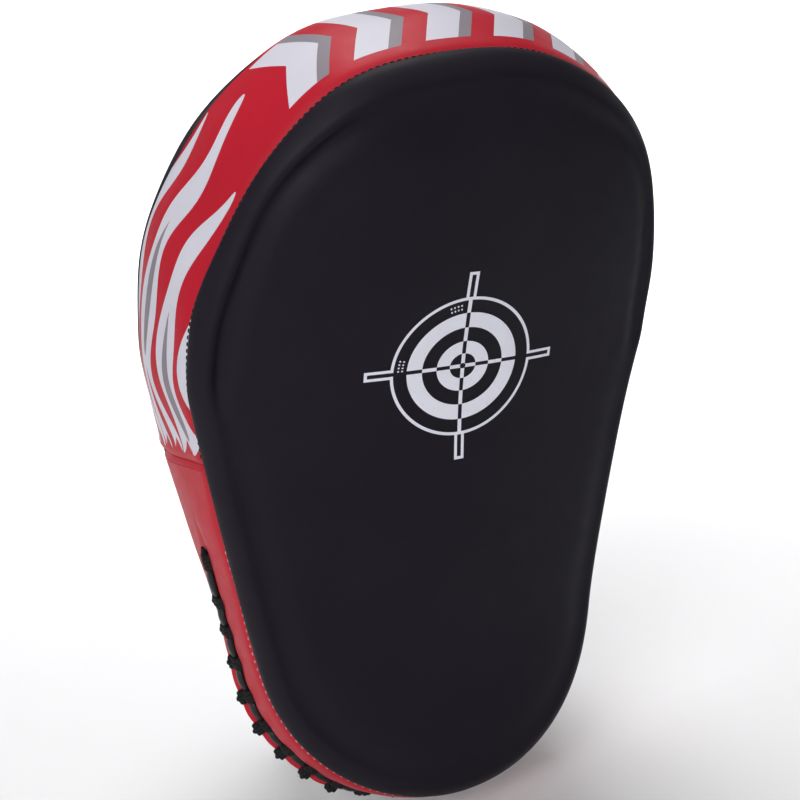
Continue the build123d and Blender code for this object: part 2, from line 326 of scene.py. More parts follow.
def stitch_row(line, normals, pitch, length, radius, lift=0.0):
    """Small sunk capsules along a line: each rises from the leather, runs and goes back in."""
    along = run_length(line)
    count = max(1, int(along[-1] / pitch))
    # Along, up and thickness of the capsule, from its middle to its end.
    half = [[0.15, 0.25, 1.0], [0.4, -0.2, 0.9], [0.5, -1.0, 0.55]]
    shape = np.array([[-step, up, thick] for step, up, thick in reversed(half)] + half)
    pieces = []
    for k in range(count):
        at = (k + 0.5) * along[-1] / count + shape[:, 0] * length
        base, up = points_at(at, along, line), points_at(at, along, normals)
        up /= np.linalg.norm(up, axis=1)[:, None]
        path = base + up * (shape[:, 1:2] * radius + lift)
        pieces.append(tube(path, radius * shape[:, 2], sides=6))
    return joined(pieces)


# ---------------------------------------------------------------- materials

class Nodes:
    """Short names for the math nodes of one material."""

    def __init__(self, name):
        self.material = bpy.data.materials.new(name)
        self.material.use_nodes = True
        self.tree = self.material.node_tree
        self.shader = self.tree.nodes["Principled BSDF"]

    def node(self, kind, **settings):
        made = self.tree.nodes.new(kind)
        for key, value in settings.items():
            setattr(made, key, value)
        return made

    def link(self, value, socket):
        if isinstance(value, bpy.types.NodeSocket):
            self.tree.links.new(value, socket)
        else:
            socket.default_value = value

    def math(self, operation, a, b=0.0, clamp=False):
        made = self.node("ShaderNodeMath", operation=operation, use_clamp=clamp)
        self.link(a, made.inputs[0])
        self.link(b, made.inputs[1])
        return made.outputs[0]

    def add(self, a, b):
        return self.math("ADD", a, b)

    def sub(self, a, b):
        return self.math("SUBTRACT", a, b)

    def mul(self, a, b):
        return self.math("MULTIPLY", a, b)

    def less(self, a, b):
        return self.math("LESS_THAN", a, b)

    def absolute(self, a):
        return self.math("ABSOLUTE", a)

    def between(self, a, low, high):
        return self.mul(self.math("GREATER_THAN", a, low), self.less(a, high))

    def either(self, *values):
        total = values[0]
        for value in values[1:]:
            total = self.math("MAXIMUM", total, value)
        return total

    def axes(self, attribute):
        """The three numbers of a point attribute."""
        source = self.node("ShaderNodeAttribute", attribute_name=attribute)
        split = self.node("ShaderNodeSeparateXYZ")
        self.link(source.outputs["Vector"], split.inputs[0])
        return split.outputs[0], split.outputs[1], split.outputs[2]

    def place(self):
        return self.node("ShaderNodeTexCoord").outputs["Object"]

    def noise(self, scale, detail=2.0):
        made = self.node("ShaderNodeTexNoise")
        self.link(self.place(), made.inputs["Vector"])
        made.inputs["Scale"].default_value = scale
        made.inputs["Detail"].default_value = detail
        return made.outputs["Fac"]

    def cells(self, scale):
        made = self.node("ShaderNodeTexVoronoi")
        self.link(self.place(), made.inputs["Vector"])
        made.inputs["Scale"].default_value = scale
        return made.outputs["Distance"]

    def wave(self, value, length, phase, size):
        """Sine wave of that size along a value."""
        return self.mul(self.math("SINE", self.add(self.mul(value, 2 * math.pi / length), phase)), size)

    def spread(self, value, low, high, to_low, to_high):
        made = self.node("ShaderNodeMapRange")
        for number, entry in enumerate((value, low, high, to_low, to_high)):
            self.link(entry, made.inputs[number])
        return made.outputs[0]

    def mix(self, amount, a, b):
        made = self.node("ShaderNodeMix", data_type="RGBA")
        self.link(amount, made.inputs["Factor"])
        colours = [socket for socket in made.inputs if socket.type == "RGBA"]
        for value, socket in zip((a, b), colours):
            self.link((*value, 1.0) if isinstance(value, tuple) else value, socket)
        return next(socket for socket in made.outputs if socket.type == "RGBA")

    def bump(self, height, distance_mm, strength, below=None):
        made = self.node("ShaderNodeBump")
        made.inputs["Distance"].default_value = distance_mm * MM
        made.inputs["Strength"].default_value = strength
        self.link(height, made.inputs["Height"])
        if below is not None:
            self.link(below, made.inputs["Normal"])
        return made.outputs[0]

    def finish(self, color, roughness, normal=None, **constants):
        inputs = self.shader.inputs
        self.link(color, inputs["Base Color"])
        self.link(roughness, inputs["Roughness"])
        if normal is not None:
            self.link(normal, inputs["Normal"])
        for key, value in constants.items():
            inputs[key.replace("_", " ")].default_value = value
        return self.material


BLACK, WORN_BLACK = (0.0095, 0.0082, 0.0128), (0.0150, 0.0135, 0.0185)
RED, DEEP_RED = (0.46, 0.011, 0.026), (0.39, 0.007, 0.017)
INK_WHITE, INK_GREY = (0.60, 0.59, 0.66), (0.235, 0.205, 0.235)
TARGET_WHITE = (0.84, 0.84, 0.93)

# The target: its middle, its arms' length, and everything else in parts of that length.
TARGET_S, TARGET_ARM = 166.0, 35.9
TARGET_HOLE, TARGET_RINGS, TARGET_DARK, TARGET_EDGE = 0.030, ((0.137, 0.275), (0.425, 0.582)), 0.715, 0.746
CROSS_HALF, ARM_HALF, ARM_START, HOLLOW_HALF, HOLLOW_END = 0.020, 0.052, 0.735, 0.021, 0.97
DOT_ANGLES, DOT_RADIUS, DOT_TURN, DOT_PITCH = (1.78, 3.02), 0.6485, 0.055, 0.040

# The print on the wall, in mm: rows of tongues up both sides, and chevrons over the finger end.
TONGUE_PITCH, TONGUE_TIP, TONGUE_RUN = 16.0, 82.0, 85.0
CHEVRON_PITCH, CHEVRON_REACH, CHEVRON_SLOPE, CHEVRON_SHADE = 23.0, 69.0, 0.55, 4.2
CHEVRON_DEPTHS, CHEVRON_TIP_DEPTH = (6.5, 35.5), 21.0


def leather_bump(n, grain, strength):
    """Fine pebbled grain with softer creases under it."""
    pebbles = n.math("POWER", n.cells(grain), 0.7)
    creases = n.bump(n.noise(90.0, 4.0), 0.25, 0.25)
    return n.bump(pebbles, 0.06, strength, creases)


def black_leather(name, roughness, grain, strength):
    """Grained leather of the back and the trim, paler in patches where it is handled."""
    n = Nodes(name)
    blotch = n.spread(n.noise(28.0, 3.0), 0.35, 0.7, 0.0, 0.55)
    color = n.mix(blotch, BLACK, WORN_BLACK)
    rough = n.spread(n.noise(160.0, 4.0), 0.3, 0.75, roughness - 0.05, roughness + 0.07)
    return n.finish(color, rough, leather_bump(n, grain, strength), Specular_IOR_Level=0.42)


def target_mask(n):
    """White ink of the target: rings and a cross that swap colours, and four open arms."""
    x, s, _ = n.axes("flat")
    u = n.math("DIVIDE", x, TARGET_ARM)
    v = n.math("DIVIDE", n.sub(s, TARGET_S), TARGET_ARM)
    across, up = n.absolute(u), n.absolute(v)
    r = n.math("SQRT", n.add(n.mul(u, u), n.mul(v, v)))
    rings = n.either(*(n.between(r, low, high) for low, high in TARGET_RINGS))
    line = n.less(n.math("MINIMUM", across, up), CROSS_HALF)
    dark = n.between(r, TARGET_RINGS[1][1], TARGET_DARK)
    cross = n.mul(n.mul(line, n.less(r, TARGET_DARK)), n.sub(1.0, n.mul(dark, n.less(CROSS_HALF, across))))
    inner = n.mul(n.absolute(n.sub(rings, cross)), n.less(TARGET_HOLE, r))
    edge = n.mul(n.between(r, TARGET_DARK, TARGET_EDGE), n.sub(1.0, n.less(up, CROSS_HALF)))
    arms = []
    for along, side in ((across, up), (up, across)):
        whole = n.mul(n.less(side, ARM_HALF), n.mul(n.less(ARM_START, r), n.less(along, 1.0)))
        hollow = n.mul(n.less(side, HOLLOW_HALF), n.less(along, HOLLOW_END))
        arms.append(n.mul(whole, n.sub(1.0, hollow)))
    return n.either(inner, edge, *arms, target_dots(n, u, v, r))


def target_dots(n, u, v, r):
    """Two groups of dots in the dark ring, at its top and at its left."""
    angle = n.math("ARCTAN2", v, u)
    groups = []
    for centre in DOT_ANGLES:
        turn = n.math("DIVIDE", n.sub(angle, centre), DOT_TURN)
        row = n.math("DIVIDE", n.sub(r, DOT_RADIUS), DOT_PITCH)
        off_turn = n.sub(n.math("FRACT", n.add(turn, 100.0)), 0.5)
        off_row = n.sub(n.math("FRACT", n.add(row, 101.0)), 0.5)
        dot = n.less(n.add(n.mul(off_turn, off_turn), n.mul(off_row, off_row)), 0.065)
        zone = n.mul(n.less(n.absolute(turn), 2.0), n.less(n.absolute(row), 1.0))
        groups.append(n.mul(dot, zone))
    return n.either(*groups)


def face_leather():
    """Smooth satin leather, a little worn, with the target printed on it."""
    n = Nodes("face_leather")
    ink = target_mask(n)
    blotch = n.spread(n.noise(22.0, 3.0), 0.35, 0.7, 0.0, 0.5)
    ground = n.mix(blotch, (0.0105, 0.0088, 0.0140), (0.0145, 0.0125, 0.0185))
    worn_ink = n.mix(n.spread(n.noise(900.0, 3.0), 0.62, 0.8, 0.0, 0.35), TARGET_WHITE, (0.45, 0.46, 0.50))
    color = n.mix(ink, ground, worn_ink)
    satin = n.spread(n.noise(140.0, 4.0), 0.3, 0.75, 0.52, 0.61)
    rough = n.add(satin, n.mul(ink, -0.06))
    raised = n.bump(ink, 0.05, 0.5, leather_bump(n, 1700.0, 0.22))
    return n.finish(color, rough, raised, Specular_IOR_Level=0.12)


def wall_print(n):
    """White and grey ink: rows of swaying tongues up both sides, chevrons over the finger end."""
    along, depth, _ = n.axes("flat")
    a = n.absolute(along)
    sway = n.add(n.wave(a, 104, 2.3, 0.30), n.wave(a, 43, 0.4, 0.085))
    phase = n.add(n.mul(depth, 1 / TONGUE_PITCH), n.add(sway, 0.35))
    row = n.math("FLOOR", n.add(phase, 0.5))
    off_row = n.absolute(n.sub(phase, row))
    tip = n.add(TONGUE_TIP, n.mul(n.math("SINE", n.mul(row, 2.1)), 13.0))

    def run_from(past_tip, length):
        """Share of a run that starts that far past the row's tip."""
        return n.math("DIVIDE", n.sub(a, n.add(tip, past_tip)), length, clamp=True)

    def stripe(run, half):
        return n.mul(n.less(off_row, half), n.less(0.001, run))

    run = run_from(0.0, TONGUE_RUN)
    swell = n.add(1.0, n.wave(a, 36, row, 0.22))
    tongues = stripe(run, n.mul(n.mul(n.math("POWER", run, 0.5), 0.40), swell))
    run = run_from(86.0, 34.0)
    tongues = n.mul(tongues, n.sub(1.0, stripe(run, n.mul(n.math("SINE", n.mul(run, math.pi)), 0.13))))
    run = run_from(44.0, 40.0)
    slivers = stripe(run, n.mul(n.mul(run, n.math("POWER", n.sub(1.0, run), 0.5)), 0.36))
    chevrons = wall_chevrons(n, along, depth, 0.0)
    shade = n.mul(wall_chevrons(n, along, depth, CHEVRON_SHADE), n.sub(1.0, chevrons))
    scallop = n.mul(n.absolute(n.math("SINE", n.mul(depth, math.pi / 9.0))), 5.0)
    zone = n.less(a, n.add(scallop, SEAM_A - 8.5))
    return n.either(n.mul(tongues, zone), chevrons), n.either(n.mul(slivers, tongues), shade)


def wall_chevrons(n, along, depth, shift):
    """Arrow-shaped bands round the finger end."""
    slanted = n.sub(along, n.mul(n.absolute(n.sub(depth, CHEVRON_TIP_DEPTH)), CHEVRON_SLOPE))
    slanted = n.add(slanted, shift)
    phase = n.math("FRACT", n.math("DIVIDE", n.add(slanted, 56 * CHEVRON_PITCH), CHEVRON_PITCH))
    zone = n.mul(n.between(depth, *CHEVRON_DEPTHS), n.less(n.absolute(slanted), CHEVRON_REACH))
    return n.mul(n.less(phase, 0.47), zone)


def red_leather(name, printed):
    """Coated red leather of the wall, with or without its print."""
    n = Nodes(name)
    blotch = n.spread(n.noise(30.0, 3.0), 0.3, 0.75, 0.0, 0.6)
    color = n.mix(blotch, RED, DEEP_RED)
    rough = n.spread(n.noise(200.0, 4.0), 0.3, 0.75, 0.42, 0.52)
    normal = leather_bump(n, 1500.0, 0.25)
    if printed:
        white, grey = wall_print(n)
        worn = n.mix(n.spread(n.noise(700.0, 3.0), 0.66, 0.82, 0.0, 0.3), INK_WHITE, (0.50, 0.44, 0.49))
        color = n.mix(grey, n.mix(white, color, worn), INK_GREY)
        normal = n.bump(n.either(white, grey), 0.04, 0.5, normal)
    return n.finish(color, rough, normal, Specular_IOR_Level=0.16)


def thread(name, color, roughness=0.6, sheen=0.2):
    """Sewing thread with uneven fibres."""
    n = Nodes(name)
    fibres = n.noise(2600.0, 3.0)
    tone = n.mix(fibres, tuple(0.6 * c for c in color), tuple(min(1.0, 1.5 * c) for c in color))
    return n.finish(tone, roughness, n.bump(fibres, 0.08, 0.7), Sheen_Weight=sheen, Specular_IOR_Level=0.3)


def lace_material():
    """Waxed cord: shiny, with a faint weave."""
    n = Nodes("waxed_lace")
    weave = n.math("SINE", n.mul(n.add(n.cells(1500.0), n.noise(500.0)), 9.0))
    color = n.mix(n.noise(300.0), (0.004, 0.004, 0.005), (0.010, 0.010, 0.012))
    return n.finish(color, 0.34, n.bump(weave, 0.05, 0.5), Specular_IOR_Level=0.34)


def woven(name, color, pitch_mm, roughness=0.8):
    """Plain weave from two crossed sets of ribs, with uneven yarns; its colour has painted shade, darker in
    the weave's hollows and lighter on its raised crossings.
    """
    n = Nodes(name)
    split = n.node("ShaderNodeSeparateXYZ")
    n.link(n.place(), split.inputs[0])
    turn = 2 * math.pi / (pitch_mm * MM)
    wobble = n.mul(n.noise(260.0, 2.0), 1.4)
    warp = n.math("SINE", n.add(n.mul(n.add(split.outputs[0], split.outputs[1]), turn), wobble))
    weft = n.math("SINE", n.add(n.mul(split.outputs[2], turn), wobble))
    weave = n.mul(warp, weft)
    # Painted shade: the cloth's colour follows the weave's height, darker where it sinks and lighter where it
    # rises.
    shade = n.spread(weave, -1.0, 1.0, 0.0, 1.0)
    tone = n.mix(shade, tuple(0.55 * c for c in color), tuple(min(1.0, 1.45 * c) for c in color))
    return n.finish(tone, roughness, n.bump(weave, 0.12, 0.8), Sheen_Weight=0.25, Sheen_Roughness=0.5)


def pile(name, color, size_mm, strength):
    """Hook or loop tape: a dense field of small tufts."""
    n = Nodes(name)
    tufts = n.cells(1.0 / (size_mm * MM))
    tone = n.mix(n.spread(tufts, 0.0, 0.7, 0.0, 1.0), tuple(min(1.0, 1.8 * c) for c in color), color)
    return n.finish(tone, 0.9, n.bump(tufts, 0.5, strength), Sheen_Weight=0.5)


def suede(name, color):
    """Napped leather with cloudy patches."""
    n = Nodes(name)
    nap = n.noise(1400.0, 5.0)
    cloud = n.spread(n.noise(45.0, 3.0), 0.3, 0.7, 0.0, 1.0)
    tone = n.mix(cloud, tuple(0.7 * c for c in color), tuple(1.35 * c for c in color))
    return n.finish(tone, 0.92, n.bump(nap, 0.12, 0.6), Sheen_Weight=0.35, Sheen_Roughness=0.4)


FACE_LEATHER = face_leather()
PRINTED_RED = red_leather("printed_red_leather", True)
PLAIN_RED = red_leather("plain_red_leather", False)
BACK_LEATHER = black_leather("back_leather", 0.42, 1500.0, 0.35)
TRIM_LEATHER = black_leather("trim_leather", 0.36, 1900.0, 0.3)
BLACK_THREAD = thread("black_thread", (0.012, 0.012, 0.014))
PALE_THREAD = thread("pale_thread", (0.42, 0.40, 0.42))
GREY_THREAD = thread("grey_thread", (0.09, 0.09, 0.10))
RED_THREAD = thread("red_thread", (0.36, 0.02, 0.035))
LACE = lace_material()
KNOT_THREAD = thread("knot_thread", (0.005, 0.005, 0.006), 0.8, 0.0)
LINING = woven("lining", (0.035, 0.035, 0.040), 0.9)
ELASTIC = woven("elastic", (0.018, 0.018, 0.020), 1.3, 0.7)
LOOP_TAPE = pile("loop_tape", (0.015, 0.015, 0.016), 0.7, 0.9)
HOOK_TAPE = pile("hook_tape", (0.030, 0.030, 0.032), 1.1, 0.6)
SUEDE = suede("palm_suede", (0.030, 0.030, 0.033))


# ---------------------------------------------------------------- the pad

def around(a):
    """Bench point and outward direction at a distance round the outline from the finger end."""
    return [np.interp(a, OUT_A, column, period=PERIMETER) for column in (OUT_X, OUT_S, OUT_NX, OUT_NS)]


def wall_point(a, outset, depth):
    """Space point beside the outline; depth counts from the seam to the back at every x."""
    x, s, nx, ns = around(a)
    pull = SEAM_PULL * x**2 / 2
    return place(x + nx * outset, s + ns * outset, depth - pull * depth / back_depth(s))


def wall_normal(a):
    """Way out of the wall at a distance round the outline."""
    _, s, nx, ns = around(a)
    tilt = np.interp(s, SIDE[0], SIDE[3])
    return np.stack(np.broadcast_arrays(nx, -np.sin(tilt) * ns, np.cos(tilt) * ns), -1)


def lace_depth(a):
    """Depth of the lace's line; above its top end the line simply runs on beside the seam."""
    _, s, _, _ = around(a)
    arc = arc_depth(np.minimum(s, LACE_TOP_S + 6), LACE_ARC_RADIUS, LACE_ARC_Y, LACE_ARC_Z)
    return np.minimum(arc, back_depth(s) - BACK_ROLL - 6.0)


def knot_places():
    """Distances round the outline of the lace's knots, down one side and up the other."""
    first = LACE_TOP_A + FIRST_KNOT
    run = PERIMETER - 2 * first
    return first + np.linspace(0, run, round(run / KNOT_PITCH) + 1)


def lean(a, depth):
    """Distance round the outline, sheared near the cross seam so that the seam slants towards the wrist."""
    return a + np.sign(a) * SEAM_LEAN * depth * bump_at(np.abs(a), SEAM_A, 40.0)


def from_finger_end(a):
    """Distance round the outline from the finger end, down either side."""
    return np.abs((a + PERIMETER / 2) % PERIMETER - PERIMETER / 2)


def back_flare(a):
    """How much wider the back is than the seam's outline, most of all round the finger end."""
    side = from_finger_end(a)
    broad = 2.8 * (1 - smooth_step(side, 140, 250)) - 2.0 * smooth_step(side, 312, 350)
    return broad + 1.2 * bump_at(side, 100.0, 32.0)


def wall_outset(a, depth):
    """How far the wall's leather stands out from the outline."""
    side = from_finger_end(a)
    _, s, _, _ = around(a)
    whole = back_depth(s) - BACK_ROLL
    share = np.clip(depth / whole, 0, 1)
    # Padded, and drawn in at the face's seam.
    out = 1.5 * np.sin(math.pi * share) ** 0.8 - 1.1 * bump_at(depth, 0.0, 2.2)
    out += back_flare(a) * smooth_step(share, 0.0, 0.8)
    # Groove of the cross seam, with a ridge above it.
    out += 0.35 * bump_at(side, SEAM_A - 3.2, 2.0) - 0.9 * bump_at(side, SEAM_A, 1.1)
    out += 0.28 * ripple(a, depth * 1.6, 34.0, 4)
    # Bulge of the rear strip behind the lace.
    line = lace_depth(a)
    heel = smooth_step(side, LACE_TOP_A + 10, LACE_TOP_A + 60) * (1 - smooth_step(side, 312, 345))
    behind = np.clip((depth - line - 1.5) / (whole - line - 1.5), 0, 1)
    out += 3.4 * heel * np.sin(math.pi * behind**0.7)
    # Groove under the lace, deeper at each knot.
    laced = smooth_step(side, LACE_TOP_A - 26, LACE_TOP_A - 1)
    out -= laced * 1.3 * bump_at(depth, line, 2.4)
    near_knot = sum(bump_at(a % PERIMETER, knot, 3.2) for knot in knot_places())
    return out - 0.7 * near_knot * bump_at(depth, line, 6.0) * (side > LACE_TOP_A - 6)


def wall_mesh():
    """Grid of the whole side wall: rows from the seam to the lace line, then on to the back."""
    a = np.unique(np.round(np.concatenate([OUT_A, [SEAM_A, -SEAM_A, LACE_TOP_A, -LACE_TOP_A]]), 4))
    near_seam = [0.0, 0.3, 0.7, 1.2, 1.8, 2.6, 3.6, 5.0]
    front = np.concatenate([near_seam, np.linspace(6.5, 19.0, 11), [19.8, 20.5]]) / 21.0
    rear = np.linspace(0.0, 1.0, 18)
    _, s, _, _ = around(a)
    line, end = lace_depth(a), back_depth(s) - BACK_ROLL
    depth = np.array([line * t for t in front] + [line + (end - line) * t for t in rear])
    grid_a = np.broadcast_to(a, depth.shape)
    points = wall_point(lean(grid_a, depth), wall_outset(grid_a, depth), depth)
    flat = np.stack([grid_a, depth, np.zeros_like(depth)], -1)
    return a, points, flat, len(front)


WALL = wall_mesh()


def wall_piece(name, keep, material, *nodes):
    """The part of the wall's grid whose quads are kept."""
    _, points, flat, _ = WALL
    faces = grid_faces(*points.shape[:2], closed=True, keep=keep)
    (points, flat), faces = compact(points, faces, flat)
    thicken(add_mesh(name, points, faces, material, "wall_leather", nodes, flat=flat), LEATHER)


def build_wall():
    """The side wall in its four sewn pieces."""
    a, points, _, front_rows = WALL
    rows = points.shape[0]
    middle = (a + np.roll(a, -1)) / 2
    middle[-1] = PERIMETER / 2
    side = np.abs(middle)[None, :].repeat(rows, 0)
    printed = side < SEAM_A
    rear = (np.arange(rows)[:, None] >= front_rows) & (side > LACE_TOP_A)
    left = middle > 0
    wall_piece("printed_wall_leather", printed, PRINTED_RED, "side_wall_printed", "core_foam")
    wall_piece("plain_wall_leather", ~printed & ~rear, PLAIN_RED, "side_gusset")
    wall_piece("rear_strip_left_leather", rear & left, PLAIN_RED, "rear_strip_left")
    wall_piece("rear_strip_right_leather", rear & ~left, PLAIN_RED, "rear_strip_right")


def face_height(inset, reach, a, x, s):
    """Height of the striking face in front of the seam, in mm."""
    crown = FACE_HEIGHT - FACE_FALL * (1 - np.clip(reach / FACE_FALL_WIDTH, 0, 1)) ** 2
    edge = rounding(inset, 9.0)
    side = np.abs(a)
    # The crease runs beside the seam: sharp round the finger end, broad and shallow down the sides.
    crease_at = 10.8 - 4.6 * bump_at(side, 92.0, 36.0) - 2.8 * smooth_step(side, 110.0, 170.0)
    sharp = 3.3 * smooth_step(side, 12, 75) * (1 - smooth_step(side, 150, 176))
    broad = 1.7 * smooth_step(side, 158, 190) * (1 - smooth_step(side, 300, 375))
    crease = sharp * bump_at(inset, crease_at, 3.3) + broad * bump_at(inset, crease_at + 0.8, 5.0)
    crease *= np.where(a > 0, 1.0, 0.65)
    rim = bump_at(inset, 0.45 * crease_at, 2.6)
    inside = smooth_step(inset, 12, 26)
    return (crown + rim - crease) * edge + 0.30 * inside * ripple(x, s, 75.0, 2)


def face_grid(insets, inner_steps):
    """Rings inside the outline, then rings shrinking to the middle: x, s, inset and reach of each point."""
    rings = [(OUT_X - OUT_NX * inset, OUT_S - OUT_NS * inset, inset, max(inset, 0.0)) for inset in insets]
    x0, s0 = rings[-1][:2]
    last = insets[-1]
    for t in np.linspace(1, 0, inner_steps + 1)[1:]:
        soft = t if t > 0.4 else t * t / 0.8 + 0.2
        scaled = (x0 * t, FACE_CENTRE_S + (s0 - FACE_CENTRE_S) * t)
        rings.append((*scaled, last + (1 - t) * 60.0, last + (FACE_FALL_WIDTH - last) * (1 - soft)))
    return [np.array([np.broadcast_to(ring[i], OUT_X.shape) for ring in rings]) for i in range(4)]


def build_face():
    """Crowned striking face: tucked in under its seam, creased beside it and domed in the middle."""
    near_seam = [1.4, 0.5, 0.1, 0.0, 0.05, 0.15, 0.35, 0.6, 1.0, 1.5]
    x, s, inset, reach = face_grid(np.concatenate([near_seam, np.arange(2.0, RIM_DEPTH, 0.8)]), 44)
    height = face_height(inset, reach, OUT_A, x, s)
    height[:4] = np.array([-1.2, -0.7, -0.3, 0.2])[:, None]     # the leather turns in under the seam
    height[4:] = np.maximum(height[4:], 0.25)
    for _ in range(6):                                          # smooths all but the crease and the rim
        height[18:-1] = (height[17:-2] + 2 * height[18:-1] + height[19:]) / 4
    flat = np.stack([x, s, np.zeros_like(x)], -1)
    thing = add_mesh("face_leather_cover", place(x, s, -height), grid_faces(*x.shape, closed=True, flip=True),
                     FACE_LEATHER, "face_leather", ("strike_face", "face_foam"), flat=flat, merge=True)
    thicken(thing, LEATHER)


def build_back_panel():
    """Back of the pad, with a soft roll over its edge."""
    # How far each ring of the roll stands out from the outline, and how far it is from the back's level.
    roll = [(-1.6, -7.0), (-0.5, -6.2), (0.15, -5.3), (0.0, -4.4), (-0.6, -3.3), (-1.5, -2.3), (-2.7, -1.4),
            (-4.2, -0.7), (-6.0, -0.25), (-8.0, 0.0)]
    x, s, inset, _ = face_grid([-out for out, _ in roll] + list(np.arange(11.0, RIM_DEPTH, 3.0)), 34)
    rise = np.zeros_like(x)
    rise[:len(roll)] = np.array([lift for _, lift in roll])[:, None]
    proud = 0.9 * bump_at(OUT_A, 100.0, 35.0) * bump_at(rise, -4.8, 1.6)
    wider = proud + back_flare(OUT_A) * (1 - smooth_step(inset, 8, 40))
    x, s = x + OUT_NX * wider, s + OUT_NS * wider
    rise += 0.25 * smooth_step(inset, 8, 26) * ripple(x, s, 60.0, 8)
    points = place(x, s, back_depth(s) + rise - SEAM_PULL * x**2 / 2)
    thing = add_mesh("back_leather_cover", points, grid_faces(*x.shape, closed=True), BACK_LEATHER,
                     "back_leather", ("back_panel", "rear_foam"), merge=True)
    thicken(thing, LEATHER)


def build_seam_stitches():
    """Black stitches round the face's seam, pale ones at the heel, and a row beside each cross seam."""
    pale_from = 216.0
    rows = (
        ("face", 1 - pale_from, pale_from - 1, 0.1, 1.2, (2.3, 1.35, 0.25), BLACK_THREAD, "trim_leather"),
        ("heel", pale_from, PERIMETER - pale_from, 0.15, 1.5, (3.0, 1.0, 0.2), PALE_THREAD, "wall_leather"),
    )
    for name, low, high, outset, row_depth, size, material, slot_name in rows:
        a = np.linspace(low, high, int(high - low))
        depth = np.full_like(a, row_depth)
        line = wall_point(a, outset + wall_outset(a, depth), depth)
        add_mesh(name + "_seam_stitches", *stitch_row(line, wall_normal(a), *size), material, slot_name)
    depth = np.linspace(2.5, 38.0, 30)
    for number, sign in ((1, 1), (2, -1)):
        a = np.full_like(depth, sign * (SEAM_A + 2.4))
        line = wall_point(lean(a, depth), wall_outset(a, depth) + 0.02, depth)
        row = stitch_row(line, wall_normal(a), 2.6, 1.7, 0.24)
        add_mesh(f"cross_seam_stitches_{number}", *row, RED_THREAD, "wall_leather")


def lace_line(a):
    """Where the lace lies on the wall."""
    depth = lace_depth(a)
    return wall_point(a, wall_outset(a, depth) + 1.5, depth)


def wrap(a, half_width, height, radius):
    """One turn of thread over the lace, going into the leather on both sides."""
    turn = np.linspace(-0.35, math.pi + 0.35, 17)
    depth = lace_depth(a) + half_width * np.cos(turn)
    a = np.full_like(depth, a)
    return tube(wall_point(a, wall_outset(a, depth) + height * np.sin(turn), depth), radius, sides=8)


def build_lace():
    """Lens-shaped runs of waxed lace between thread-wrapped knots, with a fat knot at each end."""
    knots = knot_places()
    stops = [LACE_TOP_A, *knots, PERIMETER - LACE_TOP_A]
    swell = 0.8 + 1.5 * np.sin(math.pi * np.linspace(0, 1, 15)) ** 0.8
    runs = []
    for low, high in zip(stops[:-1], stops[1:]):
        a = np.linspace(low, high, len(swell))
        runs.append(tube(lace_line(a), swell, sides=10, squash=(wall_normal(a), 0.72)))
    add_mesh("heel_lace", *joined(runs), LACE, "lace", ["lace_cord"])
    wraps = []
    for knot in knots:
        for step, size in ((-1.2, 0.88), (0.0, 1.0), (1.2, 0.88)):
            wraps.append(wrap(knot + step, 3.4 * size, 2.8 * size, 1.10))
    add_mesh("lace_wraps", *joined(wraps), KNOT_THREAD, "lace", ["lace_knots"])
    ends = []
    for sign, end in ((1, LACE_TOP_A), (-1, PERIMETER - LACE_TOP_A)):
        for number in range(5):
            ends.append(wrap(end + sign * (number * 1.3 - 3.0), 2.5 - 0.14 * (number - 2.0) ** 2, 2.4, 0.8))
        a = end - sign * np.linspace(2.5, 6.5, 8)
        ends.append(tube(lace_line(a) + wall_normal(a) * 0.3, np.linspace(1.5, 0.5, 8), sides=8))
    add_mesh("lace_end_wraps", *joined(ends), KNOT_THREAD, "lace", ["lace_end_knots"])


# ---------------------------------------------------------------- back of the mitt

def seat(x, z, lift=0.0):
    """Space points on the back of the pad, lifted off it."""
    x, z, lift = np.broadcast_arrays(*(np.asarray(v, float) for v in (x, z, lift)))
    slope = -(z - BACK_CENTRE_Z) / BACK_RADIUS
    return np.stack([x, back_y(z) + lift * np.sqrt(1 - slope**2), z - lift * slope], -1)


def seat_normal(x, z):
    """Way off the back of the pad."""
    return seat(x, z, 1.0) - seat(x, z, 0.0)


def signed_power(value, power):
    return np.sign(value) * np.abs(value) ** power


def pocket_plan(left, right, mouth_z, shoulder_z, tip_z, count):
    """Base line of a pocket from the left end of its mouth round the tip to the right: x, z and outward."""
    middle, half = (left + right) / 2, (right - left) / 2
    turn = np.linspace(0, math.pi, 90)
    arc_z = shoulder_z + (tip_z - shoulder_z) * np.sin(turn) ** 0.9
    line = np.stack([
        np.concatenate([[left], middle - half * signed_power(np.cos(turn), 0.82), [right]]),
        np.concatenate([[mouth_z], arc_z, [mouth_z]]),
    ], 1)
    along = run_length(line)
    x, z = points_at(np.linspace(0, along[-1], count), along, line).T
    dx, dz = np.gradient(x), np.gradient(z)
    size = np.hypot(dx, dz)
    return x, z, -dz / size, dx / size


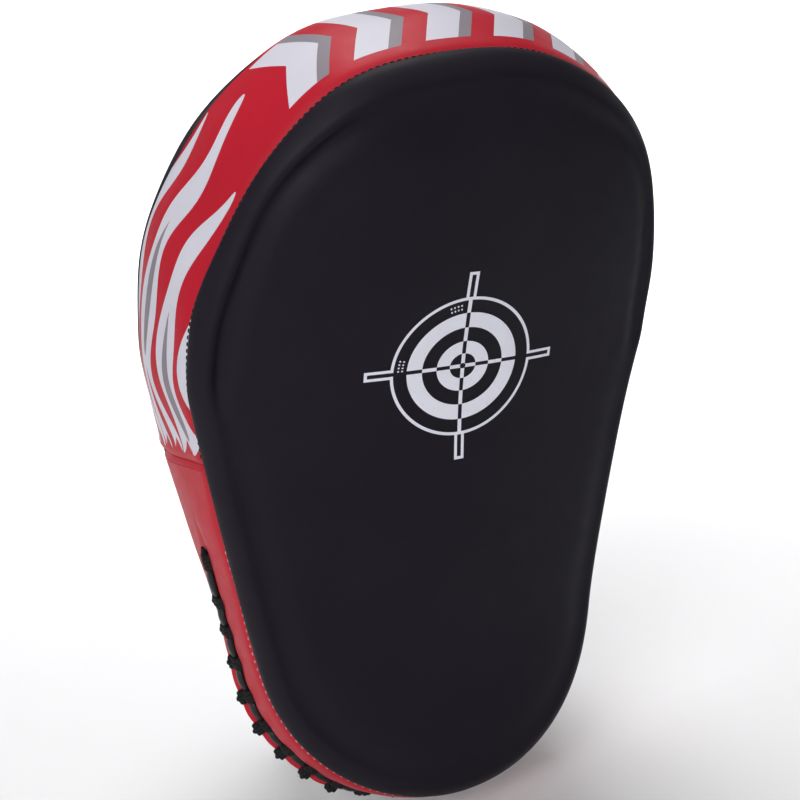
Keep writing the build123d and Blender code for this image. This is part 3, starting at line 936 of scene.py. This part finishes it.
def pocket_surface(plan, spine, dome, inset, channels=(), puff=0.0, flange=0.0):
    """Rows from the flange over the dome to the spine: space points as rows by plan points."""
    x, z, nx, nz = plan
    spine_x, spine_z = np.full_like(x, (x[0] + x[-1]) / 2), np.clip(z, *spine)
    centre_y, centre_z, radius = dome
    rows = []
    if flange:
        section = ((flange, 0.1), (flange - 0.3, 1.3), (flange - 1.2, 1.7), (flange * 0.5, 1.8), (0.9, 1.8))
        rows = [seat(x + nx * out, z + nz * out, lift) for out, lift in section]
    base_x, base_z = x - nx * inset, z - nz * inset
    for q in np.concatenate([[0.0, 0.008, 0.02, 0.04, 0.07, 0.11, 0.16], np.linspace(0.22, 1.0, 18)]):
        px, pz = base_x + (spine_x - base_x) * q, base_z + (spine_z - base_z) * q
        top = centre_y + np.sqrt(np.maximum(radius**2 - (pz - centre_z) ** 2, 0)) - inset - back_y(pz)
        rise = np.maximum(top, 2.0) * (1 - (1 - q) ** 2.7) ** (1 / 2.7)
        swell = puff * np.sqrt(np.clip(q * 4, 0, 1)) * (0.5 + 0.5 * np.cos(math.pi * np.clip(q - 0.55, 0, 1)))
        for channel in channels:
            swell = swell - (puff + 0.7) * bump_at(pz, channel, 2.6) * smooth_step(q, 0.05, 0.25)
        rows.append(seat(px, pz, 1.2 + rise + swell))
    return np.array(rows)


def pocket_piece(name, points, material, slot_name, thickness, nodes):
    """Skin over a pocket's surface, thickened inwards."""
    thing = add_mesh(name, points, grid_faces(*points.shape[:2]), material, slot_name, nodes, merge=True)
    return thicken(thing, thickness, points.reshape(-1, 3).mean(0) - (0.0, 14.0, 0.0))


def edge_arch(points, row_from, column):
    """The open end of a pocket surface, as a line from its left base over the top to its right base."""
    left, right = points[row_from:, column], points[row_from:, -1 - column]
    return np.vstack([left, right[-2::-1]])


def binding(name, outer, inner, node):
    """Folded leather edge round a pocket's mouth."""
    line = (outer + inner) / 2
    along = run_length(line)
    line = points_at(np.linspace(0, along[-1], 90), along, line)
    gap = float(np.median(np.linalg.norm(outer - inner, axis=1)))
    down = np.tile([0.0, 0.0, 1.0], (len(line), 1))
    points, faces = tube(line, gap / 2 + 1.3, sides=18, squash=(down, 0.55))
    add_mesh(name, points, faces, TRIM_LEATHER, "trim_leather", [node])


def seam_on(name, line, normals, slot_name="trim_leather"):
    """A row of grey stitches."""
    add_mesh(name, *stitch_row(line, normals, 3.2, 2.3, 0.36), GREY_THREAD, slot_name)


def build_pocket(name, plan, spine, dome, wall, channels, puff, nodes, binding_node, lining_node):
    """Padded cover, cloth lining, bound mouth and stitching of a hood that is sewn to the back."""
    outer = pocket_surface(plan, spine, dome, 0.0, channels, puff, flange=6.5)
    cover = pocket_piece(name + "_leather", outer, BACK_LEATHER, "back_leather", LEATHER, nodes)
    inner = pocket_surface(plan, spine, dome, wall)
    pocket_piece(name + "_lining_cloth", inner, LINING, "lining_fabric", 0.9, [lining_node])
    binding(name + "_bound_edge", edge_arch(outer, 5, 0), edge_arch(inner, 0, 0), binding_node)
    x, z, nx, nz = plan
    seam_on(name + "_flange_stitches", seat(x + nx * 3.6, z + nz * 3.6, 1.85), seat_normal(x, z))
    for number, channel in enumerate(channels, 1):
        column = int(np.argmin(np.abs(z[: len(z) // 2] - channel)))
        line = edge_arch(outer, 8, column)
        away = line - np.array([(x[0] + x[-1]) / 2, back_y(channel), channel])
        seam_on(f"{name}_channel_stitches_{number}", line, away / np.linalg.norm(away, axis=1)[:, None])


def build_hood():
    """Padded hood that the fingers slide into, quilted across by two channels."""
    plan = pocket_plan(left=-62.0, right=43.0, mouth_z=30.0, shoulder_z=74.0, tip_z=119.0, count=121)
    build_pocket("finger_hood", plan, spine=(30.0, 74.0), dome=(-59.0, 35.0, 95.0), wall=7.6,
                 channels=(51.0, 73.0), puff=1.6, nodes=("finger_hood", "hood_padding"),
                 binding_node="hood_binding", lining_node="hood_lining")


def build_thumb():
    """Thin sleeve for the thumb, on the right of the palm."""
    plan = pocket_plan(left=46.5, right=73.5, mouth_z=-4.0, shoulder_z=30.0, tip_z=46.5, count=81)
    build_pocket("thumb_sleeve", plan, spine=(-4.0, 30.0), dome=(-34.0, -2.0, 60.0), wall=2.8,
                 channels=(), puff=0.5, nodes=("thumb_sleeve",),
                 binding_node="thumb_binding", lining_node="thumb_lining")


def corner_inset(distance, corner):
    """How far a rounded corner draws in at a distance from the side that it meets."""
    across = np.sqrt(np.maximum(corner**2 - (corner - distance) ** 2, 0))
    return np.where(distance < corner, corner - across, 0)


def build_palm():
    """Suede patch under the palm, with rounded corners and a row of stitches inside its edge."""
    half, low, high, corner = 32.0, -88.0, 56.0, 14.0
    z = np.linspace(low, high, 121)
    x = np.outer(half - corner_inset(np.minimum(z - low, high - z), corner), np.linspace(-1, 1, 45))
    z = z[:, None].repeat(45, 1)
    points = seat(x, z, 1.15 + 0.12 * ripple(x, z, 24.0, 5))
    patch = add_mesh("palm_patch_suede", points, grid_faces(*x.shape), SUEDE, "palm_suede", ["palm_patch"])
    thicken(patch, 1.1, (0.0, -60.0, 0.0))
    t = np.linspace(0, 2 * math.pi, 240)
    x, z = 29.0 * signed_power(np.cos(t), 0.22), -16.0 + 69.0 * signed_power(np.sin(t), 0.10)
    seam_on("palm_patch_stitches", seat(x, z, 1.4), seat_normal(x, z), "palm_suede")


def build_ball():
    """Leather dome that the palm closes on, in six gores with sewn seams."""
    centre, radius, gores, foot = np.array([-6.0, -10.0, 0.0]), 27.0, 6, 66.0
    gore_turns = np.arange(gores) * 2 * math.pi / gores
    turn = np.linspace(0, 2 * math.pi, 181)[:-1]
    rows = []
    for degrees in [*np.linspace(0, 64, 34), 66.0, 68.0, 70.0, 72.0, 74.0]:
        t = math.radians(degrees)
        from_seams = (np.abs((turn - seam + math.pi) % (2 * math.pi) - math.pi) for seam in gore_turns)
        groove = 0.55 * sum(bump_at(away * radius * math.sin(t), 0.0, 0.9) for away in from_seams)
        size = radius - groove * min(1.0, degrees / 12)
        out, up = size * math.sin(t), size * math.cos(t)
        if degrees > foot:                  # the dome ends in a flat flange
            out = radius * math.sin(math.radians(foot)) + (degrees - foot) * 0.55
            up = radius * math.cos(math.radians(foot))
        row = np.broadcast_arrays(out * np.cos(turn), up, out * np.sin(turn))
        rows.append(centre + np.stack(row, -1))
    cover = add_mesh("grip_ball_leather", rows, grid_faces(len(rows), len(turn), closed=True), BACK_LEATHER,
                     "back_leather", ("grip_ball_cover", "grip_ball_core"), merge=True)
    thicken(cover, 1.3, centre)
    pieces = []
    t = np.radians(np.linspace(9, 62, 30))
    for angle in gore_turns + 0.055:
        away = np.stack([np.sin(t) * math.cos(angle), np.cos(t), np.sin(t) * math.sin(angle)], 1)
        pieces.append(stitch_row(centre + away * radius, away, 3.0, 2.0, 0.32, 0.12))
    add_mesh("grip_ball_stitches", *joined(pieces), GREY_THREAD, "trim_leather")


# The cuff is an arch over the wrist: flat on top, round corners, straight walls down to the pad.
ARCH_FLAT, ARCH_CORNER, ARCH_WALL_Y = 14.0, 28.0, 2.0
ARCH_TURN = ARCH_FLAT + ARCH_CORNER * math.pi / 2
CUFF_LOW, CUFF_HIGH, CUFF_THICKNESS, CUFF_GAP, CUFF_LENGTH = -82.0, -38.0, 7.6, 9.0, 60.0
STRAP_LOW, STRAP_HIGH, STRAP_EDGE = -75.0, -45.0, 0.8


def arch(d, z, offset):
    """Space point at a distance d over the arch from its middle (left negative), outside it by an offset."""
    reach = np.abs(d)
    angle = np.clip((reach - ARCH_FLAT) / ARCH_CORNER, 0, math.pi / 2)
    radius = ARCH_CORNER + offset
    x = np.sign(d) * (np.minimum(reach, ARCH_FLAT) + radius * np.sin(angle))
    y = ARCH_WALL_Y + radius * np.cos(angle) - np.maximum(reach - ARCH_TURN, 0)
    return np.stack(np.broadcast_arrays(x, y, z), -1)


def arch_out(d):
    """Way out of the arch at a distance over it."""
    angle = np.clip((np.abs(d) - ARCH_FLAT) / ARCH_CORNER, 0, math.pi / 2)
    return np.stack([np.sign(d) * np.sin(angle), np.cos(angle), np.zeros_like(angle)], -1)


def steps(length, edge, pitch):
    """Distances from 0 to a length, closer together at both ends."""
    near = edge * np.array([0.0, 0.06, 0.2, 0.45, 0.75, 1.0])
    middle = np.linspace(edge, length - edge, max(3, int((length - 2 * edge) / pitch)))
    return np.concatenate([near[:-1], middle, (length - near[::-1])[1:]])


def closed_piece(name, low, high, material, slot_name, nodes=(), body="mitt"):
    """Piece between two skins that meet at every border."""
    count = low.shape[0] * low.shape[1]
    faces = grid_faces(*low.shape[:2])
    faces = faces + [[i + count for i in face[::-1]] for face in faces]
    points = np.vstack([low.reshape(-1, 3), high.reshape(-1, 3)])
    thing = add_mesh(name, points, faces, material, slot_name, nodes, body, merge=True)
    shape = bmesh.new()
    shape.from_mesh(thing.data)
    bmesh.ops.recalc_face_normals(shape, faces=shape.faces)
    shape.to_mesh(thing.data)
    shape.free()
    return thing


def build_cuff():
    """Two padded wings with sewn channels; the right one mirrors the left."""
    height, half = CUFF_HIGH - CUFF_LOW, CUFF_THICKNESS / 2
    channels = (height / 3, height * 2 / 3)
    for side, sign in (("left", -1), ("right", 1)):
        u, v = np.meshgrid(steps(CUFF_LENGTH, 5.0, 1.3), steps(height, 4.0, 1.2))
        z = CUFF_LOW + v
        wall_end = ARCH_TURN + ARCH_WALL_Y - back_y(z) - 0.8
        reach = CUFF_GAP + u / CUFF_LENGTH * (wall_end - CUFF_GAP)
        edge = np.minimum(rounding(u, 5.0), rounding(np.minimum(v, height - v), 4.0))
        edge = edge * rounding(CUFF_LENGTH - u, 1.2)
        channel = sum(bump_at(v, at, 1.0) for at in channels)
        plump = edge * (1 - 0.34 * channel * smooth_step(u, 3, 8))
        puff = 0.7 * np.abs(np.sin(3 * math.pi * v / height))
        swell = edge * (puff + 0.35 * ripple(reach, z, 22.0, 12 + sign))
        outer = arch(sign * reach, z, -half + half * plump + 0.6 * swell - 0.7)
        inner = arch(sign * reach, z, -half - half * plump)
        nodes = [f"cuff_{side}_{layer}" for layer in ("cover", "foam", "lining")]
        wing = closed_piece(f"cuff_{side}_wing", inner, outer, BACK_LEATHER, "back_leather", nodes)
        rows = []
        for at in channels:
            row = int(np.argmin(np.abs(v[:, 0] - at)))
            rows.append(stitch_row(outer[row, 7:-2], arch_out(sign * reach[row, 7:-2]), 3.2, 2.2, 0.34))
        add_mesh(f"cuff_{side}_stitches", *joined(rows), GREY_THREAD, "trim_leather")


def strap_piece(name, start, end, offset, thickness, material, slot_name, nodes=(), body="mitt", margin=0.0,
                corner=0.0):
    """Flat strip lying on the arch from one distance to another, with soft edges."""
    low_z, high_z = STRAP_LOW + margin, STRAP_HIGH - margin
    length, width = abs(end - start), high_z - low_z
    u, v = np.meshgrid(steps(length, STRAP_EDGE, 1.6), steps(width, STRAP_EDGE, 1.6))
    to_side = np.minimum(v, width - v)
    edge = np.minimum(rounding(np.minimum(u, length - u), STRAP_EDGE), rounding(to_side, STRAP_EDGE))
    squeeze = corner_inset(length - u, corner)
    middle = (low_z + high_z) / 2
    z = middle + (low_z + v - middle) * (1 - squeeze / (width / 2))
    d = start + u * math.copysign(1.0, end - start)
    centre, half = offset + thickness / 2, thickness / 2 * edge
    low, high = arch(d, z, centre - half), arch(d, z, centre + half)
    return closed_piece(name, low, high, material, slot_name, nodes, body)


def strap_seam(name, lines, offset, body="mitt"):
    """Stitches along lines given by distance over the arch and height z."""
    pieces = []
    for line in lines:
        line = np.array(line, float)
        along = run_length(line)
        d, z = points_at(np.linspace(0, along[-1], max(4, int(along[-1] / 1.5))), along, line).T
        pieces.append(stitch_row(arch(d, z, offset), arch_out(d), 3.0, 2.1, 0.33))
    return add_mesh(name, *joined(pieces), GREY_THREAD, "trim_leather", body=body)


def build_strap():
    """Anchor and elastic on the left, leather with its hook patch on the right, loop patch on the cuff."""
    tip, box_start, box_end = ARCH_TURN, -15.0, -8.0
    trim = (TRIM_LEATHER, "trim_leather")
    strap_piece("strap_anchor_leather", -64.0, -53.9, 0.0, 4.7, *trim, ["strap_anchor"])
    strap_piece("loop_patch_pile", ARCH_FLAT, tip, 0.0, 1.3, LOOP_TAPE, "loop_tape", ["loop_patch"],
                margin=2.0)
    strap_piece("hook_patch_pile", ARCH_FLAT, tip, 1.6, 1.1, HOOK_TAPE, "hook_tape", ["hook_patch"],
                "strap_tip", margin=2.0)
    elastic = strap_piece("strap_elastic_web", -53.4, -5.9, 2.8, 1.7, ELASTIC, "elastic",
                          ["strap_elastic"], None)
    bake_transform(elastic)
    leather = strap_piece("strap_leather_cover", -17.0, tip + 6.0, 4.6, 1.5, *trim,
                          ["strap_leather", "strap_tab"], None, corner=9.0)
    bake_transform(leather)
    strap_piece("strap_backing", -5.2, tip, 2.8, 1.8, *trim, (), "strap_tip", margin=1.0)

    def across(d, margin):
        """Corners of a line across the strap, short of both its edges."""
        return [(d, STRAP_LOW + margin), (d, STRAP_HIGH - margin)]

    def both_edges(start, end, margin):
        """Lines along both edges of the strap."""
        return list(zip(across(start, margin), across(end, margin)))

    edge = strap_seam("strap_border_stitches", both_edges(box_start, tip + 1.0, 2.2), 6.1, None)
    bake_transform(edge)
    box_sides = [across(box_start, 2.2), across(box_end, 2.2)]
    diagonals = zip(box_sides[0], box_sides[1][::-1])
    strap_seam("strap_box_stitches", [*box_sides, *diagonals], 6.1, "strap_base")
    strap_seam("strap_tip_stitches", [across(ARCH_FLAT + 1.5, 3.5)], 6.1, "strap_tip")
    (corner_low, corner_high), root_side = across(-62.0, 2.0), across(-55.5, 2.0)
    strap_seam("strap_anchor_stitches", [[corner_low, *root_side, corner_high]], 4.75)
    loop_lines = [across(ARCH_FLAT + 1.2, 3.2), *both_edges(ARCH_FLAT + 1.2, tip - 1.2, 3.2)]
    strap_seam("loop_patch_stitches", loop_lines, 1.25)


# ---------------------------------------------------------------- light, floor and camera

# The photograph's viewpoint: to the left of the striking face and a little above.
CAMERA_AZIMUTH, CAMERA_ELEVATION, CAMERA_ROLL = (math.radians(v) for v in (-27.35, 12.96, -2.33))
CAMERA_AIM, CAMERA_DISTANCE, CAMERA_LENS = (-15.9, -54.1, 43.0), 414.0, 54.86
FLOOR_RADIUS, FLOOR_CURVE, WALL_HEIGHT = 1500.0, 700.0, 1900.0
LIGHTS = (      # name, place, aim, side of its square, power in watts, spread in degrees
    ("key", (-1050, -900, 600), (-50, -40, 30), 800, 2.75, 70),
    ("top", (60, 200, 1300), (0, 60, 0), 700, 2.7, 90),
    ("sweep", (500, 900, 1500), (800, 1500, -130), 1000, 26.0, 110),
    ("rear_fill", (300, 1100, 500), (0, 0, 20), 500, 0.3, 80),
)


def build_stage():
    """A round pale floor that sweeps up into a wall on all sides."""
    n = Nodes("pale_floor")
    n.finish(n.mix(n.noise(6.0), (0.84, 0.84, 0.85), (0.88, 0.88, 0.89)), 0.9)
    bend = np.linspace(0, math.pi / 2, 16)
    radii = [0.0, 300.0, 800.0, *(FLOOR_RADIUS + FLOOR_CURVE * np.sin(bend)), FLOOR_RADIUS + FLOOR_CURVE]
    heights = np.array([0.0, 0.0, 0.0, *(FLOOR_CURVE * (1 - np.cos(bend))), WALL_HEIGHT])
    heights += CAD_BOX[0].z / MM - 0.5
    turn = np.linspace(0, 2 * math.pi, 96, endpoint=False)
    points = np.stack([np.outer(radii, np.cos(turn)), np.outer(radii, np.sin(turn)),
                       np.outer(heights, np.ones_like(turn))], -1)
    faces = grid_faces(len(radii), len(turn), closed=True)
    add_mesh("floor", points, faces, n.material, body=None, merge=True)


def build_lights():
    """Soft square lamps."""
    for name, light_place, aim, side, power, spread in LIGHTS:
        data = bpy.data.lights.new(name, "AREA")
        data.shape, data.size, data.size_y = "RECTANGLE", side * MM, side * MM
        data.energy, data.spread = power, math.radians(spread)
        thing = bpy.data.objects.new(name, data)
        bpy.context.scene.collection.objects.link(thing)
        thing.location = Vector(light_place) * MM
        thing.rotation_euler = (Vector(aim) - Vector(light_place)).to_track_quat("-Z", "Y").to_euler()


def build_camera():
    """Camera at the viewpoint, turned by its roll."""
    east, south, level = math.sin(CAMERA_AZIMUTH), -math.cos(CAMERA_AZIMUTH), math.cos(CAMERA_ELEVATION)
    back = Vector((east * level, south * level, math.sin(CAMERA_ELEVATION)))
    right = Vector((-south, east, 0.0))
    up = back.cross(right)
    turned_right = right * math.cos(CAMERA_ROLL) + up * math.sin(CAMERA_ROLL)
    turned_up = up * math.cos(CAMERA_ROLL) - right * math.sin(CAMERA_ROLL)
    data = bpy.data.cameras.new("camera")
    data.lens, data.sensor_width = CAMERA_LENS, 36.0
    data.clip_start, data.clip_end = 0.01, 20.0
    camera = bpy.data.objects.new("camera", data)
    bpy.context.scene.collection.objects.link(camera)
    camera_place = (Vector(CAMERA_AIM) + back * CAMERA_DISTANCE) * MM
    rotation = Matrix((turned_right, turned_up, back)).transposed()
    camera.matrix_world = Matrix.Translation(camera_place) @ rotation.to_4x4()
    bpy.context.scene.camera = camera


def build_world():
    """Faint white light from all sides, and colours shown as they are."""
    world = bpy.data.worlds.new("studio")
    world.use_nodes = True
    background = world.node_tree.nodes["Background"]
    background.inputs["Color"].default_value = (1.0, 1.0, 1.0, 1.0)
    background.inputs["Strength"].default_value = 0.06
    bpy.context.scene.world = world
    bpy.context.scene.view_settings.view_transform = "Standard"


build_wall()
build_face()
build_back_panel()
build_seam_stitches()
build_lace()
build_hood()
build_thumb()
build_palm()
build_ball()
build_cuff()
build_strap()
build_stage()
build_camera()
build_world()
build_lights()
